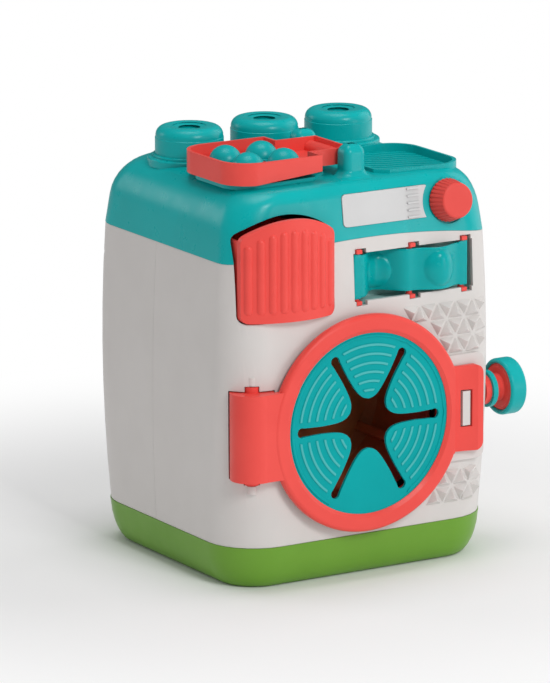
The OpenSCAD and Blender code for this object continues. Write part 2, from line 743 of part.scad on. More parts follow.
module wave_band() color(teal)
  difference() {
    union() {
      translate([0, 0, band_z0]) linear_extrude(band_z1 - band_z0)
        polygon(concat([for (i = [0:band_steps]) wave_side(band_at(i), -1)],
          [for (i = [band_steps:-1:0]) wave_side(band_at(i), 1)]));
      for (x = band_pin_x) translate([x, band_y + pin_back, band_z0])
        cylinder(r = pin_r + 1.3, h = band_z1 - band_z0, $fn = 48);
      band_button(band_pin_x[0] + 19.6, -2.6, 8.5, 4.4, 0.3);
      band_button(band_pin_x[2] - 18, 0, 9.2, 2.2, 1.1);
    }
    for (x = band_pin_x) translate([x, band_y + pin_back, band_z0 - 1])
      cylinder(r = pin_r + fit_gap, h = 40, $fn = 32);
  }
// low soft dome in the band: its radius, its rise, and how far its foot reaches back
module band_button(x, dz, r, rise, back)
  translate([x, wave(x) + back, win_mid_z + dz]) rotate([90, 0, 0]) {
    cap_r = (r * r + rise * rise) / (2 * rise);
    half = asin(r / cap_r);
    rotate_extrude($fn = 72) polygon(concat([[0, 0], [r, 0]],
      [for (i = [9:-1:1]) [cap_r * sin(half * i / 9), back + rise - cap_r * (1 - cos(half * i / 9))]],
      [[0, back + rise - cap_r * (1 - cos(half / 9))]]));
  }

module band_pin(x) {
  z0 = win_z0 - notch_h + 0.35;
  z1 = win_z1 + notch_h - 0.35;
  translate([x, band_y + pin_back, z0]) cylinder(r = pin_r, h = z1 - z0, $fn = 32);
  for (z = [z0, z1 - lug_h]) translate([x - lug_w / 2, band_y - 2.1, z]) cube([lug_w, pin_back + 3.4, lug_h]);
}
module band_pin_left() color(coral) band_pin(band_pin_x[0]);
module band_pin_middle() color(coral) band_pin(band_pin_x[1]);
module band_pin_right() color(coral) band_pin(band_pin_x[2]);

tray_t = 1.2;
module window_tray() color([0.62, 0.84, 0.82])
  intersection() {
    difference() {
      to_front(-case_hd + win_depth)
        linear_extrude(40) translate([win_x0 - 2, win_z0 - notch_h - 0.1 - tray_t])
          square([win_x1 - win_x0 + 4, win_z1 - win_z0 + 2 * (notch_h + 0.1 + tray_t)]);
      to_front(-case_hd + win_depth - tray_t)
        linear_extrude(40) translate([win_x0 - 2 + tray_t, win_z0 - notch_h - 0.1])
          square([win_x1 - win_x0 + 4 - 2 * tray_t, win_z1 - win_z0 + 2 * (notch_h + 0.1)]);
    }
    casing_loft(wall + fit_gap);
  }

// ---- door ----

module door_ring() color(coral) {
  difference() {
    union() {
      difference() {
        translate([door_x, 0, door_z]) to_front(ring_back_y) rotate_extrude($fn = 180) polygon(concat(
          [[ring_in_r, 0], [ring_r - 0.6, 0], [ring_r, 0.6]],
          arc(ring_r - 2.6, ring_t - 2.6, 2.6, 0, 90, 5),
          [[ring_in_r + 2.2, ring_t], [ring_in_r, ring_t - 1.4]]));
        translate([latch_chord_x, ring_front_y - 5, door_z - 40]) cube([40, 20, 80]);
      }
      // leaf towards the hinge barrel
      to_front(ring_back_y) linear_extrude(ring_t - 0.5)
        difference() {
          translate([hinge_x + 3, door_z - leaf_h / 2]) square([door_x - 0.88 * ring_in_r - hinge_x - 3, leaf_h]);
          translate([door_x, door_z]) circle(r = ring_in_r + 0.4, $fn = 180);
        }
      translate([hinge_x, hinge_y + 0.5, door_z - leaf_h / 2]) barrel_body();
      // latch plate
      difference() {
        to_front(ring_back_y) linear_extrude(ring_t - 0.3)
          polygon(concat(
            arc(latch_x1 - 5, door_z + leaf_h / 2 - 5, 5, 0, 90, 6),
            [[latch_chord_x - 2, door_z + leaf_h / 2], [latch_chord_x - 2, door_z - leaf_h / 2]],
            arc(latch_x1 - 5, door_z - leaf_h / 2 + 5, 5, 270, 360, 6)));
        translate([latch_chord_x, scoop_y - scoop_r, door_z - leaf_h]) intersection() {
          cylinder(r = scoop_r, h = 2 * leaf_h, $fn = 180);
          cube([100, 100, 2 * leaf_h]);
        }
      }
    }
    // seat of the membrane and its clamp
    translate([door_x, 0, door_z]) to_front(ring_back_y + 1)
      cylinder(r = seat_r, h = ring_back_y + 1 - rebate_y, $fn = 180);
    to_front(ring_back_y + 5) linear_extrude(20)
      translate([slot_x0, door_z - slot_hz]) square([slot_x1 - slot_x0, 2 * slot_hz]);
    translate([hinge_x, hinge_y, door_z - leaf_h]) cylinder(r = hinge_pin_r + run_gap, h = 2 * leaf_h, $fn = 32);
  }
}
// barrel with a collar at each end, round the hinge pin
module barrel_body()
  translate([0, -0.5, 0]) {
    cylinder(r = barrel_r, h = leaf_h, $fn = 90);
    translate([0, 0, -collar_h]) cylinder(r = collar_r, h = leaf_h + 2 * collar_h, $fn = 48);
  }

module hinge_pin() color(steel)
  translate([hinge_x, hinge_y, door_z - pocket_hz - 3.8]) cylinder(r = hinge_pin_r, h = 2 * pocket_hz + 7.6, $fn = 32);

// star-shaped opening: six arms between petals with rounded tips
tip_x = 12.4;
tip_w = tip_x * tan(30);
arm_neck = 2;
arm_end_r = 2.9;
arm_steps = 14;
arm_len = star_arm - arm_end_r - 1.6 - tip_x;
function arm_w(r) = arm_neck + (tip_w - arm_neck) * pow(tip_x / r, 3.6) + 0.05 * max(0, r - 32);
function arm_r(k) = tip_x + arm_len * k / arm_steps;
function arm_fits(k, g) = arm_w(arm_r(k)) + g <= arm_r(k) * tan(30) + 0.001;
function arm_points(g) = concat(
  [for (k = [0:arm_steps]) if (arm_fits(k, g)) [arm_r(k), -arm_w(arm_r(k)) - g]],
  arc(star_arm - arm_end_r, 0, arm_end_r + g, -112, 112, 10),
  [for (k = [arm_steps:-1:1]) if (arm_fits(k, g)) [arm_r(k), arm_w(arm_r(k)) + g]]);
function turned(p, a) = [p[0] * cos(a) - p[1] * sin(a), p[0] * sin(a) + p[1] * cos(a)];
module star_cut(g) polygon([for (i = [0:5]) for (p = arm_points(g)) turned(p, i * 60)]);
petal_ribs = 7;
petal_rib_r = 19.3;
petal_pitch = (ring_in_r - 1.9 - petal_rib_r) / 6;
rib_margin = 3.4;
module door_membrane() color(teal)
  translate([door_x, 0, door_z]) to_front(membrane_y + membrane_t) {
    difference() {
      cylinder(r = seat_r - 0.1, h = membrane_t, $fn = 180);
      translate([0, 0, -1]) linear_extrude(5) star_cut(0);
    }
    // raised arcs on the petals, apart from the lowest petal
    difference() {
      for (i = [0:petal_ribs - 1]) rotate_extrude($fn = 180)
        translate([petal_rib_r + i * petal_pitch, membrane_t - 0.3])
          polygon([[-0.9, 0], [-0.9, 0.5], [-0.45, 0.9], [0.45, 0.9], [0.9, 0.5], [0.9, 0]]);
      translate([0, 0, -1]) linear_extrude(6) star_cut(rib_margin);
      translate([0, 0, -1]) linear_extrude(6) polygon([[0, 0], [-60, -100], [60, -100]]);
    }
  }

module door_clamp_ring() color(coral)
  translate([door_x, 0, door_z]) to_front(ring_back_y)
    rotate_extrude($fn = 180) polygon([
      [clamp_in_r, ring_back_y - clamp_y], [seat_r - 0.1, ring_back_y - clamp_y], [seat_r - 0.1, 0.05],
      [hole_r - 0.7, 0.05], [hole_r - 0.7, -3.5], [clamp_in_r, -3.5]]);

// ---- drum and gears ----

module drum() color(coral)
  translate([door_x, 0, door_z]) to_front(drum_back_y) {
    difference() {
      rotate_extrude($fn = 120) polygon([
        [axle_r + fit_gap, 0], [drum_r - 6, 0], [drum_r - 1.7, 1.7], [drum_r, 6],
        [drum_r, drum_depth], [drum_r - drum_wall, drum_depth],
        [drum_r - drum_wall, 7], [drum_r - 7, drum_wall], [axle_r + fit_gap, drum_wall]]);
    }
    for (i = [0:2]) rotate(90 + i * 120)
      translate([drum_r - drum_wall - 6.4, -2.5, drum_wall - 0.5]) cube([7.4, 5, drum_depth - 9]);
  }

crown_in = crown_r - face_w / 2;
crown_out = crown_r + face_w / 2;
tooth_tip = 1.7;
tooth_root = 2.7;
module crown_gear() color(natural)
  translate([door_x, crown_pitch_y, door_z]) {
    rotate([-90, 0, 0]) translate([0, 0, -tooth_down - crown_plate_t + fit_gap])
      difference() {
        cylinder(r = crown_out, h = crown_plate_t - fit_gap, $fn = 120);
        translate([0, 0, -1]) cylinder(r = axle_r + fit_gap, h = 10, $fn = 48);
      }
    for (i = [0:crown_teeth - 1]) rotate([0, i * 360 / crown_teeth, 0])
      translate([crown_in, 0, 0]) rotate([90, 0, 90])
        linear_extrude(face_w) crown_tooth();
  }
module crown_tooth()
  polygon([[-tooth_down - 0.5, -tooth_root / 2], [tooth_up, -tooth_tip / 2],
    [tooth_up, tooth_tip / 2], [-tooth_down - 0.5, tooth_root / 2]]);

module drum_axle() color(steel)
  translate([door_x, 0, door_z]) to_front(bracket_y + bracket_t + 3.2) {
    cylinder(r = axle_r, h = bracket_y + bracket_t + 3.2 - drum_back_y + drum_wall, $fn = 48);
    cylinder(r = axle_r + 2.2, h = 2, $fn = 48);
  }

module drum_bush() color(natural)
  translate([door_x, 0, door_z]) to_front(bracket_y + bracket_t + 0.4)
    difference() {
      union() {
        cylinder(r = bush_r, h = bracket_t + 0.4, $fn = 64);
        translate([0, 0, bracket_t + 0.4]) cylinder(r = bush_r + 1.8, h = 1.6, $fn = 64);
      }
      translate([0, 0, -1]) cylinder(r = axle_r + run_gap, h = 20, $fn = 48);
    }

bracket_x0 = door_x - 24;
bracket_x1 = door_x + 18;
wing_x1 = pinion_x - face_w / 2 - 2;
wing_x0 = wing_x1 - 8;
module drum_bracket() color(white)
  difference() {
    union() {
      translate([bracket_x0, bracket_y, 3 + fit_gap])
        cube([bracket_x1 - bracket_x0, bracket_t, door_z + 14 - 3]);
      // block that carries the inner end of the crank shaft
      translate([wing_x0, bracket_y, door_z - 9]) cube([wing_x1 - wing_x0, shaft_y + 9 - bracket_y, 18]);
      translate([bracket_x1 - 3, bracket_y, door_z - 9]) cube([wing_x0 - bracket_x1 + 4, bracket_t, 18]);
      // feet and stiffening ribs
      for (x = foot_x) translate([x - 5, bracket_y, 3 + fit_gap]) cube([10, bracket_t + 12, 10]);
      for (x = [bracket_x0, bracket_x1 - 3])
        translate([x, bracket_y, 3 + fit_gap]) cube([3, bracket_t + 7, door_z - 16]);
    }
    translate([door_x, 0, door_z]) to_front(bracket_y + 20) cylinder(r = bush_r + fit_gap, h = 40, $fn = 64);
    to_right(wing_x0 - 10, shaft_y, door_z) cylinder(r = shaft_r + run_gap, h = 30, $fn = 48);
    for (x = foot_x) for (y = foot_y) translate([x, y, 0]) cylinder(r = screw_r + fit_gap, h = 12, $fn = 32);
  }

module bracket_screws() color(steel)
  for (x = foot_x) for (y = foot_y) translate([x, y, -0.8 + 1.2])
    difference() {
      union() {
        translate([0, 0, -0.3]) cylinder(r = screw_head_r, h = 1, $fn = 32);
        cylinder(r = screw_r, h = 11, $fn = 32);
      }
      translate([-2, -0.4, -1]) cube([4, 0.8, 1.2]);
      translate([-0.4, -2, -1]) cube([0.8, 4, 1.2]);
    }

// ---- crank and grip ----

module crank_shaft() color(steel)
  to_right(wing_x0 + 0.5, shaft_y, door_z) cylinder(r = shaft_r, h = arm_x0 + arm_t - 1 - wing_x0 - 0.5, $fn = 48);

pinion_root = pinion_r - tooth_down;
pinion_tip_r = pinion_r + tooth_up;
module drive_pinion() color(natural)
  to_right(pinion_x - face_w / 2, shaft_y, door_z)
    difference() {
      union() {
        cylinder(r = pinion_root, h = face_w, $fn = 64);
        for (i = [0:pinion_teeth - 1]) rotate(90 + (i + 0.5) * 360 / pinion_teeth)
          linear_extrude(face_w) polygon([[pinion_root - 1, -tooth_root / 2], [pinion_tip_r, -tooth_tip / 2],
            [pinion_tip_r, tooth_tip / 2], [pinion_root - 1, tooth_root / 2]]);
        translate([0, 0, face_w - 0.5]) cylinder(r = shaft_r + 2, h = 5, $fn = 48);
      }
      translate([0, 0, -1]) cylinder(r = shaft_r + fit_gap, h = 20, $fn = 48);
    }

module crank_bush() color(natural)
  to_right(side_x - 8.4, shaft_y, door_z)
    difference() {
      union() {
        cylinder(r = bush_out_r + 2, h = 1.38, $fn = 64);
        cylinder(r = bush_out_r, h = 8.6, $fn = 64);
      }
      translate([0, 0, -1]) cylinder(r = shaft_r + run_gap, h = 20, $fn = 48);
    }

module crank_arm() color(coral)
  difference() {
    union() {
      to_right(arm_x0, shaft_y, door_z) cylinder(r = 10, h = arm_t, $fn = 64);
      to_right(side_x + 0.5, shaft_y, door_z) cylinder(r = 8, h = 3, $fn = 64);
      to_right(arm_x0, grip_y, door_z) cylinder(r = 9, h = arm_t, $fn = 64);
      to_right(arm_x0, shaft_y, door_z) linear_extrude(arm_t - 0.4)
        polygon([[-7.6, 0], [7.6, 0], [6.6, -crank_arm_l], [-6.6, -crank_arm_l]]);
    }
    to_right(side_x - 1, shaft_y, door_z) cylinder(r = shaft_r + fit_gap, h = arm_x0 + arm_t - 1 + fit_gap - side_x + 1, $fn = 48);
    to_right(arm_x0 - 1, grip_y, door_z) cylinder(r = grip_pin_r + fit_gap, h = 10, $fn = 48);
  }

module grip_pin() color(steel)
  to_right(arm_x0 + 0.3, grip_y, door_z) cylinder(r = grip_pin_r, h = knob_x0 + 6 - arm_x0, $fn = 48);

module grip_washer() color(teal)
  to_right(washer_x0 - part_gap + fit_gap, grip_y, door_z)
    difference() {
      cylinder(r = 10.8, h = washer_t, $fn = 72);
      translate([0, 0, -1]) cylinder(r = grip_pin_r + fit_gap, h = 10, $fn = 48);
    }

module grip_core() color(coral)
  to_right(neck_x0, grip_y, door_z)
    rotate_extrude($fn = 72) polygon([
      [grip_pin_r + run_gap, 0], [7.5, 0], [7.5, neck_l - 0.6], [8.1, neck_l], [core_r - 1.2, neck_l],
      [core_r - 1.2, neck_l + 0.6], [core_r, neck_l + 1.2], [core_r, neck_l + grip_w - 0.8],
      [core_r - 1.2, neck_l + grip_w], [0, neck_l + grip_w], [0, neck_l + 7.2], [grip_pin_r + run_gap, neck_l + 7.2]]);

module grip_ring() color(teal)
  to_right(knob_x0, grip_y, door_z)
    rotate_extrude($fn = 72) polygon(concat(
      [[core_r + fit_gap, 0.8], [core_r + 0.9, 0]],
      arc(grip_r - 1.8, 1.8, 1.8, 270, 360, 4), arc(grip_r - 1.8, grip_w - 1.8, 1.8, 0, 90, 4),
      [[core_r + 0.9, grip_w], [core_r + fit_gap, grip_w - 0.8]]));

// ---- flip tray ----

dome_px_all = [dome_cx - dome_px / 2, dome_cx + dome_px / 2];
dome_py_all = [flap_y - dome_py / 2, flap_y + dome_py / 2];
dome_hole_r = dome_rim_r - 0.7;
flap_lift = 3.5;
module flap_tray() color(coral)
  difference() {
    union() {
      difference() {
        translate([flap_x, flap_y, flap_low_z]) linear_extrude(flap_wall_h) tray_outline(0);
        difference() {
          translate([flap_x, flap_y, flap_low_z - 1]) linear_extrude(flap_wall_h + 2) tray_outline(-flap_wall_t);
          translate([-big / 2, -big / 2, flap_floor_z]) cube([big, big, flap_floor_t]);
        }
      }
      // hinge tube across the neck
      translate([flap_x, flap_y + neck_hw, flap_z]) rotate([90, 0, 0]) cylinder(r = 4.2, h = 2 * neck_hw, $fn = 48);
    }
    for (x = dome_px_all) for (y = dome_py_all)
      translate([x, y, flap_low_z - 1]) cylinder(r = dome_hole_r, h = 8, $fn = 64);
    translate([flap_x, flap_y + 40, flap_z]) rotate([90, 0, 0]) cylinder(r = flap_pin_r + run_gap, h = 80, $fn = 48);
    // underside that rises towards the hinge
    translate([0, flap_y + 50, 0]) rotate([90, 0, 0]) linear_extrude(100)
      polygon([[tray_left_x + 14, flap_low_z - 5], [tray_left_x + 14, flap_low_z], [shoulder_x, flap_low_z + flap_lift],
        [neck_end_x + 5, flap_low_z + flap_lift], [neck_end_x + 5, flap_low_z - 5]]);
  }

module flap_pin() color(steel)
  translate([flap_x, post_front_y + 3.3, flap_z]) rotate([-90, 0, 0])
    cylinder(r = flap_pin_r, h = post_rear_y + post_t - 3.3 - post_front_y - 3.3, $fn = 48);

module dome_rims() color(teal)
  for (x = dome_px_all) for (y = dome_py_all)
    translate([x, y, flap_floor_z]) rotate_extrude($fn = 64) polygon([
      [dome_r + dome_gap, -0.4], [dome_hole_r - fit_gap, -0.4], [dome_hole_r - fit_gap, flap_floor_t + fit_gap],
      [dome_rim_r, flap_floor_t + fit_gap], [dome_rim_r, flap_floor_t + 0.5], [dome_rim_r - 0.3, flap_floor_t + 0.8],
      [dome_r + dome_gap, flap_floor_t + 0.8]]);

module dome(i)
  translate([dome_px_all[i % 2], dome_py_all[floor(i / 2)], 0]) color(teal)
    rotate_extrude($fn = 64) polygon(concat(
      [[dome_r - 1.4, dome_low_z], [dome_r, dome_low_z]],
      arc(0, dome_centre_z, dome_r, 0, 90, 9),
      arc(0, dome_centre_z, dome_r - 1.4, 90, 0, 9)));
module dome_1() dome(0);
module dome_2() dome(1);
module dome_3() dome(2);
module dome_4() dome(3);

base_tray();
front_shell();
rear_shell();
top_cover();
display_plate();
dial_knob();
dial_retainer();
drawer();
drawer_guide();
wave_band();
band_pin_left();
band_pin_middle();
band_pin_right();
window_tray();
door_ring();
door_clamp_ring();
door_membrane();
hinge_pin();
drum();
crown_gear();
drum_axle();
drum_bush();
drum_bracket();
crank_shaft();
drive_pinion();
crank_bush();
crank_arm();
grip_washer();
grip_pin();
grip_core();
grip_ring();
flap_tray();
flap_pin();
dome_rims();
dome_1();
dome_2();
dome_3();
dome_4();
case_screws();
bracket_screws();
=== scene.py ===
import bpy
import json
import math
from mathutils import Matrix, Vector


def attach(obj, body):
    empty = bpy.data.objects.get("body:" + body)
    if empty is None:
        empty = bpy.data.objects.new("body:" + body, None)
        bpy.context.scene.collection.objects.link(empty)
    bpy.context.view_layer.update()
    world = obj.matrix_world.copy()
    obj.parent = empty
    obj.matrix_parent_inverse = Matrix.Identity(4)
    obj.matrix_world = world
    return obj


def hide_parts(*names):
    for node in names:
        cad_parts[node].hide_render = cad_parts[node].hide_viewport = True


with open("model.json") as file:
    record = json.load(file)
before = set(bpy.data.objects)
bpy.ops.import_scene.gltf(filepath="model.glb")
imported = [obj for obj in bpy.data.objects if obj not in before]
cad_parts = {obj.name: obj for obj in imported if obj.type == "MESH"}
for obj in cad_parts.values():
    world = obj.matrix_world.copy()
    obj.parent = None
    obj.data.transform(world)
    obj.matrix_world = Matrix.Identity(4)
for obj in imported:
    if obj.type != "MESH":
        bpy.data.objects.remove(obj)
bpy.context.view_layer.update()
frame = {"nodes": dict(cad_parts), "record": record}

mm = 0.001
nodes = frame["nodes"]


def deselectAll():
    if bpy.context.mode != "OBJECT":
        bpy.ops.object.mode_set(mode="OBJECT")
    bpy.ops.object.select_all(action="DESELECT")


def pick(piece):
    deselectAll()
    piece.hide_viewport = False
    piece.select_set(True)
    bpy.context.view_layer.objects.active = piece


def applyModifier(piece, kind, **settings):
    pick(piece)
    modifier = piece.modifiers.new(kind.title(), kind)
    for key, value in settings.items():
        setattr(modifier, key, value)
    bpy.ops.object.modifier_apply(modifier=modifier.name)


def finishPiece(piece, material, slotName, body, *stoodFor):
    piece.data.materials.clear()
    piece.data.materials.append(material)
    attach(piece, body)
    if stoodFor:
        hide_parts(*stoodFor)


# joins corners that lie closer than reach and faces that are flat to each other
def mergeCorners(piece, reach, flat):
    pick(piece)
    bpy.ops.object.mode_set(mode="EDIT")
    bpy.ops.mesh.select_all(action="SELECT")
    bpy.ops.mesh.remove_doubles(threshold=reach * mm)
    bpy.ops.mesh.dissolve_degenerate(threshold=reach * mm)
    bpy.ops.mesh.dissolve_limited(angle_limit=math.radians(flat))
    bpy.ops.object.mode_set(mode="OBJECT")


# reach in mm, flat angles in degrees
merging = {"reach": 0.004, "flat": 0.3, "flatCover": 0.02}


# a copy of a CAD node with merged corners
def copyOf(nodeName, pieceName):
    source = nodes[nodeName]
    mesh = source.data.copy()
    piece = bpy.data.objects.new(pieceName, mesh)
    bpy.context.scene.collection.objects.link(piece)
    pick(piece)
    if mesh.has_custom_normals:
        bpy.ops.mesh.customdata_custom_splitnormals_clear()
    flat = merging["flatCover"] if nodeName == "top_cover" else merging["flat"]
    mergeCorners(piece, merging["reach"], flat)
    return piece


softening = {"smoothBelow": 32, "bevelAbove": 48, "segments": 2, "weight": 80}  # degrees


# softened edges and smooth shading; without an edge value the normals stay unweighted
def soften(piece, edge, angle=softening["smoothBelow"]):
    if edge:
        applyModifier(piece, "BEVEL", width=edge * mm, segments=softening["segments"],
                      limit_method="ANGLE", angle_limit=math.radians(softening["bevelAbove"]),
                      miter_outer="MITER_ARC")
    pick(piece)
    bpy.ops.object.shade_smooth_by_angle(angle=math.radians(angle))
    if edge is not None:
        applyModifier(piece, "WEIGHTED_NORMAL", keep_sharp=True, weight=softening["weight"])


def socketGroup(name, inputs, outputs):
    group = bpy.data.node_groups.new(name, "ShaderNodeTree")
    for label, kind, value in inputs:
        socket = group.interface.new_socket(name=label, in_out="INPUT", socket_type=kind)
        if value is not None:
            socket.default_value = value
    for label, kind in outputs:
        group.interface.new_socket(name=label, in_out="OUTPUT", socket_type=kind)
    start = group.nodes.new("NodeGroupInput")
    end = group.nodes.new("NodeGroupOutput")
    return group, start, end


def noiseNode(group, vector, scale, detail):
    noise = group.nodes.new("ShaderNodeTexNoise")
    noise.inputs["Scale"].default_value = scale
    noise.inputs["Detail"].default_value = detail
    group.links.new(vector, noise.inputs["Vector"])
    return noise


def mapNode(group, value, low, high, outLow, outHigh):
    node = group.nodes.new("ShaderNodeMapRange")
    node.inputs["From Min"].default_value = low
    node.inputs["From Max"].default_value = high
    node.inputs["To Min"].default_value = outLow
    node.inputs["To Max"].default_value = outHigh
    group.links.new(value, node.inputs["Value"])
    return node


def mixNode(group, factor, first):
    mix = group.nodes.new("ShaderNodeMix")
    mix.data_type = "RGBA"
    group.links.new(factor, mix.inputs["Factor"])
    group.links.new(first, mix.inputs["A"])
    return mix


def newMaterial(name):
    material = bpy.data.materials.new(name)
    material.use_nodes = True
    return material, material.node_tree, material.node_tree.nodes["Principled BSDF"]


def objectPlace(tree):
    return tree.nodes.new("ShaderNodeTexCoord").outputs["Object"]


grain = {"drift": (28, 3), "smear": (120, 4), "detail": 2, "strength": 0.6}


# moulded plastic: slow colour drift, fine grain in gloss and height
def makeMouldedSkin():
    group, start, end = socketGroup(
        "mouldedSkin",
        [("Vector", "NodeSocketVector", None), ("Colour", "NodeSocketColor", (1, 1, 1, 1)),
         ("Shade", "NodeSocketColor", (0.8, 0.8, 0.8, 1)), ("Gloss Low", "NodeSocketFloat", 0.3),
         ("Gloss High", "NodeSocketFloat", 0.4), ("Grain Size", "NodeSocketFloat", 900.0)],
        [("Colour", "NodeSocketColor"), ("Roughness", "NodeSocketFloat"),
         ("Height", "NodeSocketFloat")])
    vector = start.outputs["Vector"]
    drift = noiseNode(group, vector, *grain["drift"])
    driftRange = mapNode(group, drift.outputs["Fac"], 0.35, 0.7, 0.0, 1.0)
    mix = mixNode(group, driftRange.outputs["Result"], start.outputs["Colour"])
    group.links.new(start.outputs["Shade"], mix.inputs["B"])
    group.links.new(mix.outputs["Result"], end.inputs["Colour"])
    smear = noiseNode(group, vector, *grain["smear"])
    smearRange = mapNode(group, smear.outputs["Fac"], 0.3, 0.7, 0.0, 1.0)
    group.links.new(start.outputs["Gloss Low"], smearRange.inputs["To Min"])
    group.links.new(start.outputs["Gloss High"], smearRange.inputs["To Max"])
    group.links.new(smearRange.outputs["Result"], end.inputs["Roughness"])
    fine = group.nodes.new("ShaderNodeTexNoise")
    fine.inputs["Detail"].default_value = grain["detail"]
    group.links.new(vector, fine.inputs["Vector"])
    group.links.new(start.outputs["Grain Size"], fine.inputs["Scale"])
    group.links.new(fine.outputs["Fac"], end.inputs["Height"])
    return group


mouldedSkin = makeMouldedSkin()


# gloss is the range of roughness, grainSize the scale of the grain
def plastic(name, colour, shade, glossLow=0.3, glossHigh=0.4, grainSize=900, specular=0.28,
            subsurface=0.0):
    material, tree, shader = newMaterial(name)
    skin = tree.nodes.new("ShaderNodeGroup")
    skin.node_tree = mouldedSkin
    tree.links.new(objectPlace(tree), skin.inputs["Vector"])
    skin.inputs["Colour"].default_value = (*colour, 1)
    skin.inputs["Shade"].default_value = (*shade, 1)
    skin.inputs["Gloss Low"].default_value = glossLow
    skin.inputs["Gloss High"].default_value = glossHigh
    skin.inputs["Grain Size"].default_value = grainSize
    bump = tree.nodes.new("ShaderNodeBump")
    bump.inputs["Strength"].default_value = grain["strength"]
    bump.inputs["Distance"].default_value = 0.04 * mm
    tree.links.new(skin.outputs["Height"], bump.inputs["Height"])
    tree.links.new(skin.outputs["Colour"], shader.inputs["Base Color"])
    tree.links.new(skin.outputs["Roughness"], shader.inputs["Roughness"])
    tree.links.new(bump.outputs["Normal"], shader.inputs["Normal"])
    shader.inputs["Specular IOR Level"].default_value = specular
    if subsurface:
        shader.inputs["Subsurface Weight"].default_value = subsurface
        shader.inputs["Subsurface Scale"].default_value = 4 * mm
        shader.inputs["Subsurface Radius"].default_value = (1.0, 0.8, 0.6)
    return material


# turned steel with fine noise in its gloss and colour
def steelMaterial(name):
    material, tree, shader = newMaterial(name)
    noise = noiseNode(tree, objectPlace(tree), 1800, 3)
    rough = mapNode(tree, noise.outputs["Fac"], 0, 1, 0.25, 0.45)
    tree.links.new(rough.outputs["Result"], shader.inputs["Roughness"])
    ramp = tree.nodes.new("ShaderNodeValToRGB")
    ramp.color_ramp.elements[0].color = (0.45, 0.46, 0.48, 1)
    ramp.color_ramp.elements[1].color = (0.7, 0.71, 0.73, 1)
    tree.links.new(noise.outputs["Fac"], ramp.inputs["Fac"])
    tree.links.new(ramp.outputs["Color"], shader.inputs["Base Color"])
    shader.inputs["Metallic"].default_value = 1.0
    return material


teal = (0.0, 0.425, 0.43)
tealShade = (0.0, 0.395, 0.40)
coral = (0.86, 0.082, 0.067)
coralShade = (0.82, 0.07, 0.057)
finishes = {
    "casing_white": plastic("casingWhite", (0.68, 0.65, 0.63), (0.655, 0.625, 0.605), 0.36, 0.46),
    "cover_teal": plastic("coverTeal", teal, tealShade, 0.26, 0.36),
    "base_green": plastic("baseGreen", (0.16, 0.36, 0.035), (0.145, 0.335, 0.03)),
    "drawer_coral": plastic("drawerCoral", coral, coralShade),
    "door_coral": plastic("doorCoral", coral, coralShade),
    "dial_coral": plastic("dialCoral", (0.77, 0.075, 0.062), (0.73, 0.065, 0.053), 0.38, 0.48),
    "crank_coral": plastic("crankCoral", coral, coralShade),
    "tray_coral": plastic("trayCoral", coral, coralShade),
    "pin_coral": plastic("pinCoral", coral, coralShade, 0.32, 0.42),
    "membrane_teal": plastic("membraneTeal", (0.0, 0.375, 0.385), (0.0, 0.345, 0.355), 0.46, 0.56,
                             1400, specular=0.1),
    "dome_teal": plastic("domeTeal", (0.0, 0.41, 0.42), (0.0, 0.38, 0.39), 0.28, 0.36, 1400),
    "band_teal": plastic("bandTeal", (0.0, 0.385, 0.39), (0.0, 0.355, 0.36), 0.2, 0.28, 1400,
                         specular=0.2, subsurface=0.3),
    "grip_teal": plastic("gripTeal", teal, tealShade),
    "plate_white": plastic("plateWhite", (0.62, 0.62, 0.62), (0.59, 0.59, 0.59), 0.28, 0.38),
    "tray_pale": plastic("trayPale", (0.42, 0.70, 0.67), (0.39, 0.66, 0.63), 0.4, 0.5),
    "drum_coral": plastic("drumCoral", (0.62, 0.075, 0.055), (0.58, 0.065, 0.05), 0.35, 0.45),
    "gear_natural": plastic("gearNatural", (0.82, 0.80, 0.72), (0.79, 0.77, 0.69), 0.4, 0.5),
    "inner_white": plastic("innerWhite", (0.68, 0.67, 0.65), (0.65, 0.64, 0.62), 0.45, 0.55),
    "steel": steelMaterial("turnedSteel"),
}


# paints a second colour over a material's own where the mask is 1
def paintOver(material, colour, makeMask):
    tree = material.node_tree
    own = tree.nodes["Principled BSDF"].inputs["Base Color"]
    mix = mixNode(tree, makeMask(tree, objectPlace(tree)), own.links[0].from_socket)
    mix.inputs["B"].default_value = (*colour, 1)
    tree.links.new(mix.outputs["Result"], own)


def depthMask(tree, place, near, far):
    parts = tree.nodes.new("ShaderNodeSeparateXYZ")
    tree.links.new(place, parts.inputs[0])
    return mapNode(tree, parts.outputs["Y"], near * mm, far * mm, 0, 1).outputs["Result"]


# painted shade: the drum turns to brown towards its back wall, darker the deeper inside it lies
drumPaintedShade = {"colour": (0.5, 0.18, 0.06), "from": -65, "to": -22}
paintOver(finishes["drum_coral"], drumPaintedShade["colour"],
          lambda tree, place: depthMask(tree, place, drumPaintedShade["from"], drumPaintedShade["to"]))

# painted highlight: rib tops of the petals, apart from the outermost, are paler than the sheet, as
# where light catches them
ribPaintedHighlight = {"colour": (0.08, 0.47, 0.47), "from": 0.3, "to": 0.05, "middle": (-4.5, 91),
            "outer": 48}


def ribHighlightMask(tree, place):
    top = min(vertex.co.y for vertex in nodes["door_membrane"].data.vertices)
    height = depthMask(tree, place, top / mm + ribPaintedHighlight["from"], top / mm + ribPaintedHighlight["to"])
    away = tree.nodes.new("ShaderNodeVectorMath")
    away.operation = "DISTANCE"
    away.inputs[1].default_value = (ribPaintedHighlight["middle"][0] * mm, top, ribPaintedHighlight["middle"][1] * mm)
    tree.links.new(place, away.inputs[0])
    inside = tree.nodes.new("ShaderNodeMath")
    inside.operation = "LESS_THAN"
    inside.inputs[1].default_value = ribPaintedHighlight["outer"] * mm
    tree.links.new(away.outputs["Value"], inside.inputs[0])
    both = tree.nodes.new("ShaderNodeMath")
    both.operation = "MULTIPLY"
    tree.links.new(height, both.inputs[0])
    tree.links.new(inside.outputs["Value"], both.inputs[1])
    return both.outputs["Value"]
